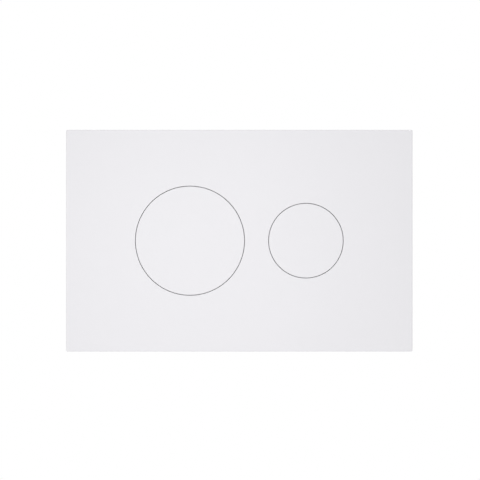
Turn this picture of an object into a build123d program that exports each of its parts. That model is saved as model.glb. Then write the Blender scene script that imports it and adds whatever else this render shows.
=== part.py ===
# Dual flush button plate for a cistern that is built into a wall.
#
# The plate hangs upright on the tiles. X runs to the right as a user sees it, Z runs up,
# and Y runs into the wall. The origin is the middle of the plate on the face of the tiles.
# Heights are measured out of the tiles towards the user, so a height h is the place Y = -h,
# and a negative height is inside the wall. Plane.XZ.offset(h) is the plane at that height.
# All sizes are in millimetres.

import os
from collections import namedtuple
from math import atan, cos, degrees, radians, sin

from build123d import *

# Face plate, one moulding with a skirt that meets the tiles
plate_width = 250.0
plate_height = 160.0
plate_projection = 13.0
plate_corner_radius = 1.0
plate_edge_radius = 0.6
face_thickness = 2.6
skirt_thickness = 2.2
opening_edge_chamfer = 0.15
collar_thickness = 1.8
plate_rib_thickness = 1.4
plate_rib_depth = 4.0
rib_row_inset = 19.0
rib_column_inset = 21.0
release_notch_width = 14.0
release_notch_depth = 2.0
release_notch_offset = 60.0

# Buttons, round caps that sit flush with the face, side by side in the middle of the plate
full_cap_diameter = 78.4
half_cap_diameter = 53.5
cap_gap = 0.4
opening_spacing = 16.95
cap_edge_chamfer = 0.2
cap_thickness = 2.6
cap_skirt_depth = 5.0
cap_skirt_thickness = 1.6
cap_rib_thickness = 1.4
cap_rib_depth = 1.8
button_travel = 5.0
stroke_clearance = 0.4
post_diameter = 12.0
post_bore_diameter = 5.2
post_bore_depth = 7.0

# Snap legs that hold each button in its guide
leg_count = 4
leg_start_angle = 45.0
leg_inset = 8.0
leg_width = 6.0
leg_thickness = 1.8
hook_overhang = 1.2
hook_length = 2.2
hook_ramp_start = 0.7
hook_tip_thickness = 0.8
hook_clearance = 0.2
leg_slot_clearance = 0.3

# Guides, moulded discs that are screwed behind the openings
guide_thickness = 2.0
guide_sleeve_wall = 2.0
guide_sleeve_front = 2.0
guide_sleeve_back = 1.4
post_clearance = 0.3
lug_count = 3
lug_start_angle = 30.0
lug_radius = 4.5
lug_overlap = 0.2

# Self-tapping screws that hold the guides
screw_shank_diameter = 2.9
screw_head_diameter = 5.6
screw_head_height = 1.8
screw_length = 8.0
screw_pilot_diameter = 3.0
screw_tip_clearance = 0.4
screw_hole_diameter = 3.4
screw_boss_diameter = 7.0

# Return springs, conical coils between guide and cap
spring_wire_diameter = 0.9
spring_base_radius = 12.6
spring_top_radius = 9.4
spring_turns = 2.0
spring_seat_clearance = 0.1

# Rubber buffers plugged into the posts
buffer_head_diameter = 11.0
buffer_head_thickness = 2.0
buffer_nub_diameter = 4.0
buffer_nub_height = 1.0
buffer_stem_length = 5.0
buffer_stem_clearance = 0.05
buffer_pad_gap = 0.3

# Rockers, levers that carry the push of each button over to its rod
shaft_wall_distance = 8.0
rocker_thickness = 3.0
rocker_arm_width = 17.0
rocker_foot_inset = 0.5
rocker_foot_height = 12.0
rocker_rib_thickness = 1.6
rocker_rib_depth = 3.5
barrel_diameter = 8.4
barrel_end_clearance = 0.4
pad_drop = 3.9
pad_rise = 1.5
pad_radius = 8.0
rod_boss_radius = 6.5
rod_boss_depth = 3.0
bridge_inset = 1.0
tongue_width = 9.0
tongue_length = 8.0
tongue_stop_clearance = 0.3

# Rocker shaft, one steel pin through both rockers
shaft_diameter = 4.0
shaft_running_clearance = 0.06
shaft_overhang = 1.0

# Push rods, which reach back to the flush valve
push_rod_spacing = 44.0
push_rod_diameter = 6.0
push_rod_reach = 62.0
push_rod_head_diameter = 10.0
push_rod_head_height = 3.0
push_rod_slot_width = 1.4
push_rod_slot_depth = 1.2
push_rod_tip_diameter = 4.4
push_rod_tip_length = 3.0
lock_nut_across_flats = 10.0
lock_nut_height = 3.2
thread_clearance = 0.05

# Mounting frame, a tray that drops into the wall opening behind its flange
flange_inset = 8.0
flange_thickness = 2.5
flange_corner_radius = 8.0
window_clearance = 1.8
tray_wall = 2.0
tray_depth = 14.0
tray_corner_radius = 5.0
panel_width = 20.0
panel_depth = 8.0
panel_thickness = 2.5
panel_rib_thickness = 1.8
lug_plate_thickness = 3.0
lug_plate_width = 11.0
centre_lug_x = 0.0
outer_lug_offset = 12.5
finger_width = 9.0
finger_thickness = 3.0
finger_overlap = 3.5
finger_rib_thickness = 2.0
finger_rib_depth = 6.0
finger_rib_margin = 5.0

# Fixing studs and their thumb nuts
stud_end_distance = 10.62
stud_diameter = 6.0
stud_reach = 75.0
stud_front_end = 1.2
stud_groove_width = 1.5
stud_groove_distance = 3.0
stud_groove_diameter = 5.0
stud_slot_length = 14.0
stud_slot_width = 6.6
nut_flange_diameter = 18.0
nut_flange_height = 1.6
nut_body_diameter = 15.0
nut_body_height = 4.0
nut_grip_count = 10
nut_grip_depth = 0.9

# Snap blades on the plate, and the steel clips in the frame that grip them
clip_end_distance = 9.0
clip_wall_distance = 14.0
blade_thickness = 2.4
blade_width = 6.4
blade_web_reach = 12.0
blade_web_thickness = 1.6
blade_web_width = 8.0
bead_thickness = 3.5
bead_depth = 6.5
bead_height = 2.0
blade_tip_length = 1.6
blade_tip_thickness = 1.2
clip_strip_thickness = 0.5
clip_width = 6.0
clip_half_opening = 2.1
clip_kink = 0.5
clip_kink_depth = 4.2
clip_reach = 11.0
clip_lip = 2.2
clip_socket_clearance = 0.3

# Heights of the stack, worked out from the face down into the wall
face_back = plate_projection - face_thickness
cap_back = plate_projection - cap_thickness
guide_front = plate_projection - cap_skirt_depth - button_travel - stroke_clearance
guide_back = guide_front - guide_thickness
hook_catch = guide_back - hook_clearance
pad_top = guide_back - pad_drop
buffer_tip = pad_top + buffer_pad_gap
post_end = buffer_tip + buffer_head_thickness
rocker_front = pad_top - pad_rise
rocker_back = rocker_front - rocker_thickness
rocker_axis_height = (rocker_front + rocker_back) / 2
finger_back = rocker_front + tongue_stop_clearance
panel_front = -panel_depth
panel_back = panel_front - panel_thickness

# Places of the openings: the pair is centred on the plate
full_opening_radius = full_cap_diameter / 2 + cap_gap
half_opening_radius = half_cap_diameter / 2 + cap_gap
pair_half_width = full_opening_radius + opening_spacing / 2 + half_opening_radius
full_x = full_opening_radius - pair_half_width
half_x = pair_half_width - half_opening_radius

# Reach of the guides with their lugs, which sets the size of the tray around them
lug_standoff = collar_thickness + lug_radius - lug_overlap
guide_reach_x = pair_half_width + lug_standoff + lug_radius
guide_reach_z = max(full_opening_radius, half_opening_radius) + lug_standoff + lug_radius
tray_inner_width = 2 * (guide_reach_x + window_clearance)
tray_inner_height = 2 * (guide_reach_z + window_clearance)
tray_width = tray_inner_width + 2 * tray_wall
tray_height = tray_inner_height + 2 * tray_wall
flange_width = plate_width - 2 * flange_inset
flange_height = plate_height - 2 * flange_inset

# Places of what the tray carries
rocker_axis_z = shaft_wall_distance - tray_inner_height / 2
rocker_arm_length = -rocker_axis_z
tongue_top = pad_radius + tongue_length
left_lug_x = full_x - outer_lug_offset
right_lug_x = half_x + outer_lug_offset
stud_x = tray_inner_width / 2 - stud_end_distance
clip_x = tray_inner_width / 2 - clip_end_distance
clip_z = tray_inner_height / 2 - clip_wall_distance

ButtonSet = namedtuple(
    "ButtonSet",
    "name x cap_radius opening_radius rib_count rod_x barrel_start barrel_end",
)
full_set = ButtonSet(
    name="full",
    x=full_x,
    cap_radius=full_cap_diameter / 2,
    opening_radius=full_opening_radius,
    rib_count=12,
    rod_x=-push_rod_spacing / 2,
    barrel_start=left_lug_x + lug_plate_thickness / 2 + barrel_end_clearance,
    barrel_end=centre_lug_x - lug_plate_thickness / 2 - barrel_end_clearance,
)
half_set = ButtonSet(
    name="half",
    x=half_x,
    cap_radius=half_cap_diameter / 2,
    opening_radius=half_opening_radius,
    rib_count=8,
    rod_x=push_rod_spacing / 2,
    barrel_start=centre_lug_x + lug_plate_thickness / 2 + barrel_end_clearance,
    barrel_end=right_lug_x - lug_plate_thickness / 2 - barrel_end_clearance,
)
button_sets = (full_set, half_set)


def lug_circle(button_set):
    """Radius of the circle that a guide's screws stand on, just outside its collar."""
    return button_set.opening_radius + lug_standoff


def radial_plane(centre_x, angle):
    """A plane through a button's axis: its x is the distance from the axis, its y the height."""
    turn = radians(angle)
    return Plane(
        origin=(centre_x, 0, 0),
        x_dir=(cos(turn), 0, sin(turn)),
        z_dir=(sin(turn), 0, -cos(turn)),
    )


def leg_angles():
    return [leg_start_angle + 360 / leg_count * k for k in range(leg_count)]


def snap_blade_profile(blade_x):
    """Corners of a blade seen along its width, from the face down to the tip and back."""
    bead_top = panel_front - bead_depth + bead_height / 2
    bead_bottom = bead_top - bead_height
    side = [
        (blade_thickness / 2, face_back),
        (blade_thickness / 2, bead_top + (bead_thickness - blade_thickness) / 2),
        (bead_thickness / 2, bead_top),
        (bead_thickness / 2, bead_bottom),
        (blade_tip_thickness / 2, bead_bottom - blade_tip_length),
    ]
    other_side = [(-x, h) for x, h in reversed(side)]
    return [(blade_x + x, -h) for x, h in side + other_side]


def save(piece, label):
    piece.part.label = label
    export_step(piece.part, f"parts/{label}.step")


# Cover plate: face, skirt, collars behind the openings, ribs, screw bosses and snap blades
def make_cover_plate():
    inner_width = plate_width - 2 * skirt_thickness
    inner_height = plate_height - 2 * skirt_thickness
    rib_row_z = plate_height / 2 - rib_row_inset
    rib_column_x = plate_width / 2 - rib_column_inset
    with BuildPart() as cover:
        with BuildSketch(Plane.XZ):
            RectangleRounded(plate_width, plate_height, plate_corner_radius)
        extrude(amount=plate_projection)
        fillet(cover.faces().sort_by(Axis.Y)[0].edges(), plate_edge_radius)
        with BuildSketch(Plane.XZ):
            Rectangle(inner_width, inner_height)
        extrude(amount=face_back, mode=Mode.SUBTRACT)

        # Ribs on the back of the face: two rows, two columns, and struts out to them
        with BuildSketch(Plane.XZ.offset(face_back)):
            with Locations((0, rib_row_z), (0, -rib_row_z)):
                Rectangle(inner_width, plate_rib_thickness)
            with Locations((rib_column_x, 0), (-rib_column_x, 0)):
                Rectangle(plate_rib_thickness, inner_height)
            for button_set in button_sets:
                with Locations((button_set.x, 0)):
                    Rectangle(plate_rib_thickness, inner_height)
            Rectangle(inner_width, plate_rib_thickness)
        extrude(amount=-plate_rib_depth)

        for button_set in button_sets:
            with BuildSketch(Plane.XZ.offset(guide_front)):
                with Locations((button_set.x, 0)):
                    Circle(button_set.opening_radius + collar_thickness)
            extrude(amount=face_back - guide_front)
            with BuildSketch(Plane.XZ.offset(guide_front)):
                with Locations((button_set.x, 0)):
                    with PolarLocations(lug_circle(button_set), lug_count, lug_start_angle):
                        Circle(screw_boss_diameter / 2)
            extrude(amount=face_back - guide_front)
        for button_set in button_sets:
            with BuildSketch(Plane.XZ.offset(plate_projection)):
                with Locations((button_set.x, 0)):
                    Circle(button_set.opening_radius)
            extrude(amount=-plate_projection, mode=Mode.SUBTRACT)
            with BuildSketch(Plane.XZ.offset(guide_front)):
                with Locations((button_set.x, 0)):
                    with PolarLocations(lug_circle(button_set), lug_count, lug_start_angle):
                        Circle(screw_pilot_diameter / 2)
            extrude(
                amount=screw_length - guide_thickness + screw_tip_clearance,
                mode=Mode.SUBTRACT,
            )
        rims = cover.faces().sort_by(Axis.Y)[0].inner_wires()
        chamfer([edge for rim in rims for edge in rim.edges()], opening_edge_chamfer)

        # Snap blades with a bead near the tip, each stiffened by a cross web at its root
        for blade_x in (-clip_x, clip_x):
            profile = snap_blade_profile(blade_x)
            for blade_z in (-clip_z, clip_z):
                with BuildSketch(Plane.XY.offset(blade_z)):
                    with BuildLine():
                        Polyline(*profile, close=True)
                    make_face()
                extrude(amount=blade_width / 2, both=True)
                with BuildSketch(Plane.XZ.offset(face_back)):
                    with Locations((blade_x, blade_z)):
                        Rectangle(blade_web_width, blade_web_thickness)
                extrude(amount=-blade_web_reach)

        # Notches in the lower skirt, where a screwdriver lifts the plate off its clips
        with BuildSketch(Plane.XZ):
            with Locations(
                (release_notch_offset, -plate_height / 2),
                (-release_notch_offset, -plate_height / 2),
            ):
                Rectangle(release_notch_width, 3 * skirt_thickness)
        extrude(amount=release_notch_depth, mode=Mode.SUBTRACT)
    return cover


# Buttons: a cap with a skirt, a guide post, ribs that centre the spring, and snap legs
def make_button(button_set):
    skirt_back = plate_projection - cap_skirt_depth
    skirt_inner_radius = button_set.cap_radius - cap_skirt_thickness
    coil_widening = (spring_base_radius - spring_top_radius) / (cap_back - guide_front)
    rib_inner = (
        spring_top_radius
        + spring_wire_diameter / 2
        + coil_widening * (cap_rib_depth + spring_wire_diameter)
        + spring_seat_clearance
    )
    rib_outer = skirt_inner_radius + cap_skirt_thickness / 2
    with BuildPart() as button:
        with BuildSketch(Plane.XZ.offset(skirt_back)):
            with Locations((button_set.x, 0)):
                Circle(button_set.cap_radius)
        extrude(amount=cap_skirt_depth)
        chamfer(button.faces().sort_by(Axis.Y)[0].edges(), cap_edge_chamfer)
        with BuildSketch(Plane.XZ.offset(skirt_back)):
            with Locations((button_set.x, 0)):
                Circle(skirt_inner_radius)
        extrude(amount=cap_back - skirt_back, mode=Mode.SUBTRACT)
        # Post that slides in the guide, bored from its end for the buffer
        with BuildSketch(Plane.XZ.offset(post_end)):
            with Locations((button_set.x, 0)):
                Circle(post_diameter / 2)
        extrude(amount=cap_back - post_end)
        with BuildSketch(Plane.XZ.offset(post_end)):
            with Locations((button_set.x, 0)):
                Circle(post_bore_diameter / 2)
        extrude(amount=post_bore_depth, mode=Mode.SUBTRACT)
        # Ribs out to the skirt, whose inner ends centre the narrow end of the spring
        with BuildSketch(Plane.XZ.offset(cap_back)):
            with Locations((button_set.x, 0)):
                with PolarLocations((rib_inner + rib_outer) / 2, button_set.rib_count):
                    Rectangle(rib_outer - rib_inner, cap_rib_thickness)
        extrude(amount=-cap_rib_depth)
        # Snap legs, hooked behind the guide
        inner = button_set.cap_radius - leg_inset - leg_thickness / 2
        outer = inner + leg_thickness
        tip = hook_catch - hook_length
        for angle in leg_angles():
            with BuildSketch(radial_plane(button_set.x, angle)):
                with BuildLine():
                    Polyline(
                        (inner, cap_back),
                        (inner, tip),
                        (inner + hook_tip_thickness, tip),
                        (outer + hook_overhang, hook_catch - hook_ramp_start),
                        (outer + hook_overhang, hook_catch),
                        (outer, hook_catch),
                        (outer, cap_back),
                        close=True,
                    )
                make_face()
            extrude(amount=leg_width / 2, both=True)
    return button


# Guides: discs with a sleeve for the post, slots for the legs and screw lugs
def make_guide(button_set):
    disc_radius = button_set.opening_radius + collar_thickness
    sleeve_bore = post_diameter / 2 + post_clearance
    leg_circle = button_set.cap_radius - leg_inset
    slot_inner = leg_circle - leg_thickness / 2 - hook_overhang - leg_slot_clearance
    slot_outer = leg_circle + leg_thickness / 2 + leg_slot_clearance
    with BuildPart() as guide:
        with BuildSketch(Plane.XZ.offset(guide_back)):
            with Locations((button_set.x, 0)):
                Circle(disc_radius)
                with PolarLocations(lug_circle(button_set), lug_count, lug_start_angle):
                    Circle(lug_radius)
        extrude(amount=guide_thickness)
        with BuildSketch(Plane.XZ.offset(guide_back - guide_sleeve_back)):
            with Locations((button_set.x, 0)):
                Circle(sleeve_bore + guide_sleeve_wall)
        extrude(amount=guide_sleeve_back + guide_thickness + guide_sleeve_front)
        with BuildSketch(Plane.XZ.offset(guide_back - guide_sleeve_back)):
            with Locations((button_set.x, 0)):
                Circle(sleeve_bore)
                with PolarLocations(lug_circle(button_set), lug_count, lug_start_angle):
                    Circle(screw_hole_diameter / 2)
                with PolarLocations((slot_inner + slot_outer) / 2, leg_count, leg_start_angle):
                    Rectangle(slot_outer - slot_inner, leg_width + 2 * leg_slot_clearance)
        extrude(
            amount=guide_sleeve_back + guide_thickness + guide_sleeve_front,
            mode=Mode.SUBTRACT,
        )
    return guide


# Screws that hold a guide, three separate solids in one group
def make_guide_screws(button_set):
    with BuildPart() as screws:
        with BuildSketch(Plane.XZ.offset(guide_back)):
            with Locations((button_set.x, 0)):
                with PolarLocations(lug_circle(button_set), lug_count, lug_start_angle):
                    Circle(screw_head_diameter / 2)
        extrude(amount=-screw_head_height)
        with BuildSketch(Plane.XZ.offset(guide_back)):
            with Locations((button_set.x, 0)):
                with PolarLocations(lug_circle(button_set), lug_count, lug_start_angle):
                    Circle(screw_shank_diameter / 2)
        extrude(amount=screw_length)
    return screws


# Return spring: a conical coil, wide on the guide and narrow on the cap
def make_return_spring(button_set):
    wire_radius = spring_wire_diameter / 2
    bottom = guide_front + wire_radius + spring_seat_clearance
    coil_height = cap_back - wire_radius - spring_seat_clearance - bottom
    cone = degrees(atan((spring_base_radius - spring_top_radius) / coil_height))
    with BuildPart() as spring:
        with BuildLine():
            coil = Helix(
                pitch=coil_height / spring_turns,
                height=coil_height,
                radius=spring_base_radius,
                center=(button_set.x, -bottom, 0),
                direction=(0, -1, 0),
                cone_angle=-cone,
            )
        with BuildSketch(Plane(origin=coil @ 0, z_dir=coil % 0)):
            RegularPolygon(wire_radius, 4)
        sweep(path=coil, is_frenet=True)
    return spring


# Buffer: a rubber mushroom plugged into the post, with a small nub that bears on the rocker
def make_buffer(button_set):
    stem_radius = post_bore_diameter / 2 - buffer_stem_clearance
    head_radius = buffer_head_diameter / 2
    with BuildPart() as buffer:
        with BuildSketch(radial_plane(button_set.x, 0)):
            with BuildLine():
                Polyline(
                    (0, buffer_tip),
                    (0, post_end + buffer_stem_length),
                    (stem_radius, post_end + buffer_stem_length),
                    (stem_radius, post_end),
                    (head_radius, post_end),
                    (head_radius, buffer_tip + buffer_nub_height),
                    (buffer_nub_diameter / 2, buffer_tip + buffer_nub_height),
                    (buffer_nub_diameter / 2, buffer_tip),
                    close=True,
                )
            make_face()
        revolve(axis=Axis((button_set.x, 0, 0), (0, -1, 0)))
    return buffer


# Rockers: a barrel on the shaft, an arm up to the pad, and a head that reaches the rod
def make_rocker(button_set):
    foot = outer_lug_offset - lug_plate_thickness / 2 - barrel_end_clearance - rocker_foot_inset
    arm = rocker_arm_width / 2
    bridge_length = abs(button_set.rod_x - button_set.x)
    bridge_x = (button_set.rod_x + button_set.x) / 2
    rib_top = -rod_boss_radius - rocker_rib_thickness
    rib_x = arm - rocker_rib_thickness / 2
    barrel_length = button_set.barrel_end - button_set.barrel_start
    with BuildPart() as rocker:
        with BuildSketch(Plane.XZ.offset(rocker_back)):
            with BuildLine():
                Polyline(
                    (button_set.x - foot, rocker_axis_z),
                    (button_set.x + foot, rocker_axis_z),
                    (button_set.x + arm, rocker_axis_z + rocker_foot_height),
                    (button_set.x + arm, 0),
                    (button_set.x - arm, 0),
                    (button_set.x - arm, rocker_axis_z + rocker_foot_height),
                    close=True,
                )
            make_face()
            with Locations((button_set.x, 0)):
                Circle(pad_radius)
            with Locations((button_set.rod_x, 0)):
                Circle(rod_boss_radius)
            with Locations((bridge_x, 0)):
                Rectangle(bridge_length, 2 * (rod_boss_radius - bridge_inset))
            with Locations((button_set.x, tongue_top / 2)):
                Rectangle(tongue_width, tongue_top)
        extrude(amount=rocker_thickness)
        with BuildSketch(Plane.XZ.offset(rocker_front)):
            with Locations((button_set.x, 0)):
                Circle(pad_radius)
        extrude(amount=pad_rise)
        # Boss for the rod, a rib across to it, and ribs down both sides of the arm
        with BuildSketch(Plane.XZ.offset(rocker_back)):
            with Locations((button_set.rod_x, 0)):
                Circle(rod_boss_radius)
            with Locations((bridge_x, 0)):
                Rectangle(bridge_length, rocker_rib_thickness)
        extrude(amount=-rod_boss_depth)
        with BuildSketch(Plane.XZ.offset(rocker_back)):
            with Locations(
                (button_set.x - rib_x, (rocker_axis_z + rib_top) / 2),
                (button_set.x + rib_x, (rocker_axis_z + rib_top) / 2),
            ):
                Rectangle(rocker_rib_thickness, rib_top - rocker_axis_z)
        extrude(amount=-rocker_rib_depth)
        # Barrel, then its bore and the rod's hole
        with BuildSketch(Plane.YZ.offset(button_set.barrel_start)):
            with Locations((-rocker_axis_height, rocker_axis_z)):
                Circle(barrel_diameter / 2)
        extrude(amount=barrel_length)
        with BuildSketch(Plane.YZ.offset(button_set.barrel_start)):
            with Locations((-rocker_axis_height, rocker_axis_z)):
                Circle(shaft_diameter / 2 + shaft_running_clearance)
        extrude(amount=barrel_length, mode=Mode.SUBTRACT)
        with BuildSketch(Plane.XZ.offset(rocker_front)):
            with Locations((button_set.rod_x, 0)):
                Circle(push_rod_diameter / 2 + thread_clearance)
        extrude(amount=-(rocker_thickness + rod_boss_depth), mode=Mode.SUBTRACT)
    return rocker


# Rocker shaft: a plain steel pin, a little longer than the lugs are apart
def make_rocker_shaft():
    start = left_lug_x - lug_plate_thickness / 2 - shaft_overhang
    end = right_lug_x + lug_plate_thickness / 2 + shaft_overhang
    with BuildPart() as shaft:
        with BuildSketch(Plane.YZ.offset(start)):
            with Locations((-rocker_axis_height, rocker_axis_z)):
                Circle(shaft_diameter / 2)
        extrude(amount=end - start)
    return shaft


# Push rod: a slotted head on the rocker, a long shank and a turned-down tip
def make_push_rod(button_set):
    with BuildPart() as rod:
        with BuildSketch(Plane.XZ.offset(rocker_front)):
            with Locations((button_set.rod_x, 0)):
                Circle(push_rod_head_diameter / 2)
        extrude(amount=push_rod_head_height)
        with BuildSketch(Plane.XZ.offset(rocker_front)):
            with Locations((button_set.rod_x, 0)):
                Circle(push_rod_diameter / 2)
        extrude(amount=-(rocker_front + push_rod_reach - push_rod_tip_length))
        with BuildSketch(Plane.XZ.offset(-push_rod_reach + push_rod_tip_length)):
            with Locations((button_set.rod_x, 0)):
                Circle(push_rod_tip_diameter / 2)
        extrude(amount=-push_rod_tip_length)
        with BuildSketch(Plane.XZ.offset(rocker_front + push_rod_head_height)):
            with Locations((button_set.rod_x, 0)):
                Rectangle(push_rod_slot_width, push_rod_head_diameter)
        extrude(amount=-push_rod_slot_depth, mode=Mode.SUBTRACT)
    return rod


# Lock nut: a hexagon that holds the rod in the rocker's boss
def make_lock_nut(button_set):
    with BuildPart() as nut:
        with BuildSketch(Plane.XZ.offset(rocker_back - rod_boss_depth)):
            with Locations((button_set.rod_x, 0)):
                RegularPolygon(lock_nut_across_flats / 2, 6, major_radius=False)
                Circle(push_rod_diameter / 2 + thread_clearance, mode=Mode.SUBTRACT)
        extrude(amount=-lock_nut_height)
    return nut


# Mounting frame: flange on the tiles, tray in the wall opening, side panels, lugs and stops
def make_mounting_frame():
    with BuildPart() as frame:
        with BuildSketch(Plane.XZ):
            RectangleRounded(flange_width, flange_height, flange_corner_radius)
            Rectangle(tray_inner_width, tray_inner_height, mode=Mode.SUBTRACT)
        extrude(amount=flange_thickness)
        with BuildSketch(Plane.XZ.offset(-tray_depth)):
            RectangleRounded(tray_width, tray_height, tray_corner_radius)
            Rectangle(tray_inner_width, tray_inner_height, mode=Mode.SUBTRACT)
        extrude(amount=tray_depth)

        # Panels at both ends of the tray, with a slot for the stud and sockets for the clips
        panel_x = (tray_inner_width - panel_width) / 2 + tray_wall / 2
        rib_x = tray_inner_width / 2 - panel_width + panel_rib_thickness / 2
        socket_width = 2 * (clip_half_opening + clip_strip_thickness + clip_socket_clearance)
        with BuildSketch(Plane.XZ.offset(panel_back)):
            with Locations((panel_x, 0), (-panel_x, 0)):
                Rectangle(panel_width + tray_wall, tray_inner_height + tray_wall)
        extrude(amount=panel_thickness)
        with BuildSketch(Plane.XZ.offset(-tray_depth)):
            with Locations((rib_x, 0), (-rib_x, 0)):
                Rectangle(panel_rib_thickness, tray_inner_height + tray_wall)
        extrude(amount=tray_depth - panel_depth)
        with BuildSketch(Plane.XZ.offset(panel_front)):
            with Locations((stud_x, 0), (-stud_x, 0)):
                SlotOverall(stud_slot_length, stud_slot_width, rotation=90)
            with GridLocations(2 * clip_x, 2 * clip_z, 2, 2):
                Rectangle(socket_width, clip_width + 2 * clip_socket_clearance)
        extrude(amount=-panel_thickness, mode=Mode.SUBTRACT)

        # Three plates that stand up from the lower wall and carry the rocker shaft
        lug_bottom = -tray_inner_height / 2 - tray_wall / 2
        for lug_x in (left_lug_x, centre_lug_x, right_lug_x):
            with BuildSketch(Plane.YZ.offset(lug_x - lug_plate_thickness / 2)):
                with Locations((-rocker_axis_height, rocker_axis_z)):
                    Circle(lug_plate_width / 2)
                with Locations((-rocker_axis_height, (lug_bottom + rocker_axis_z) / 2)):
                    Rectangle(lug_plate_width, rocker_axis_z - lug_bottom)
            extrude(amount=lug_plate_thickness)
            with BuildSketch(Plane.YZ.offset(lug_x - lug_plate_thickness / 2)):
                with Locations((-rocker_axis_height, rocker_axis_z)):
                    Circle(shaft_diameter / 2 + shaft_running_clearance)
            extrude(amount=lug_plate_thickness, mode=Mode.SUBTRACT)

        # A ribbed finger in front of each rocker's tongue stops it when it swings back
        finger_top = tray_inner_height / 2 + tray_wall / 2
        finger_bottom = tongue_top - finger_overlap
        rib_bottom = tongue_top + finger_rib_margin
        for button_set in button_sets:
            with BuildSketch(Plane.XZ.offset(finger_back)):
                with Locations((button_set.x, (finger_top + finger_bottom) / 2)):
                    Rectangle(finger_width, finger_top - finger_bottom)
            extrude(amount=finger_thickness)
            with BuildSketch(Plane.XZ.offset(finger_back)):
                with Locations((button_set.x, (finger_top + rib_bottom) / 2)):
                    Rectangle(finger_rib_thickness, finger_top - rib_bottom)
            extrude(amount=-finger_rib_depth)
    return frame


# Snap clip: a steel strip bent to a U with a kink in each arm, hung in its socket
def make_clip(place_x, place_z):
    outer = clip_half_opening + clip_strip_thickness
    neck = outer - clip_kink
    kink = panel_front - clip_kink_depth
    bottom = panel_front - clip_reach
    right_side = [
        (outer + clip_lip, panel_front),
        (outer, panel_front),
        (outer, kink + 2 * clip_kink),
        (neck, kink),
        (outer, kink - 2 * clip_kink),
        (outer, bottom),
    ]
    left_side = [(-x, h) for x, h in reversed(right_side)]
    points = [(place_x + x, -h) for x, h in right_side + left_side]
    with BuildPart() as clip:
        with BuildSketch(Plane.XY.offset(place_z)):
            with BuildLine():
                Polyline(*points)
                offset(amount=clip_strip_thickness, kind=Kind.INTERSECTION, side=Side.LEFT)
            make_face()
        extrude(amount=clip_width / 2, both=True)
    return clip


# Fixing stud: a threaded bar that screws into the cistern's box, with a groove behind the nut
def make_stud(place_x):
    groove_front = panel_back - stud_groove_distance
    with BuildPart() as stud:
        with BuildSketch(Plane.XZ.offset(-stud_reach)):
            with Locations((place_x, 0)):
                Circle(stud_diameter / 2)
        extrude(amount=stud_reach - stud_front_end)
        with BuildSketch(Plane.XZ.offset(groove_front)):
            with Locations((place_x, 0)):
                Circle(stud_diameter / 2)
                Circle(stud_groove_diameter / 2, mode=Mode.SUBTRACT)
        extrude(amount=-stud_groove_width, mode=Mode.SUBTRACT)
    return stud


# Thumb nut: a flange that clamps the panel, and a ridged body for the fingers
def make_stud_nut(place_x):
    corners = 2 * nut_grip_count
    ridge_radius = nut_body_diameter / 2
    radii = [ridge_radius - nut_grip_depth * (k % 2) for k in range(corners)]
    outline = [
        (
            place_x + radii[k] * cos(radians(360 * k / corners)),
            radii[k] * sin(radians(360 * k / corners)),
        )
        for k in range(corners)
    ]
    with BuildPart() as nut:
        with BuildSketch(Plane.XZ.offset(panel_front)):
            with Locations((place_x, 0)):
                Circle(nut_flange_diameter / 2)
        extrude(amount=nut_flange_height)
        with BuildSketch(Plane.XZ.offset(panel_front + nut_flange_height)):
            with BuildLine():
                Polyline(*outline, close=True)
            make_face()
        extrude(amount=nut_body_height)
        with BuildSketch(Plane.XZ.offset(panel_front)):
            with Locations((place_x, 0)):
                Circle(stud_diameter / 2 + thread_clearance)
        extrude(amount=nut_flange_height + nut_body_height, mode=Mode.SUBTRACT)
    return nut


os.makedirs("parts", exist_ok=True)

save(make_cover_plate(), "cover_plate")
save(make_mounting_frame(), "mounting_frame")
save(make_rocker_shaft(), "rocker_shaft")
for button_set in button_sets:
    name = button_set.name
    save(make_button(button_set), f"{name}_flush_button")
    save(make_guide(button_set), f"{name}_button_guide")
    save(make_guide_screws(button_set), f"{name}_guide_screws")
    save(make_return_spring(button_set), f"{name}_return_spring")
    save(make_buffer(button_set), f"{name}_press_buffer")
    save(make_rocker(button_set), f"{name}_rocker")
    save(make_push_rod(button_set), f"{name}_push_rod")
    save(make_lock_nut(button_set), f"{name}_rod_lock_nut")
for side, sign in (("left", -1), ("right", 1)):
    save(make_stud(sign * stud_x), f"{side}_fixing_stud")
    save(make_stud_nut(sign * stud_x), f"{side}_stud_nut")
    for level, up in (("upper", 1), ("lower", -1)):
        save(make_clip(sign * clip_x, up * clip_z), f"{level}_{side}_clip")
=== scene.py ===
# %% [markdown]
# # A dual flush plate for a cistern in the wall
#
# The plate is a white moulding with two round push buttons that sit flush with its face. What
# the user never sees is behind it: guides, springs, rockers, push rods and a frame. Every
# solid shape comes from the imported CAD model. This lesson dresses it: it gives each moulding
# and each metal part its finish, and it makes the small repeating things that CAD leaves
# plain, such as threads, coil springs and screw heads.
#
# Everything is in metres. X runs to the right, Z up, and Y into the wall, so the user looks
# along +Y.

# %% Load the CAD model
from functools import partial
from math import pi, radians

import bmesh
import bpy
from mathutils import Matrix, Vector


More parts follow.
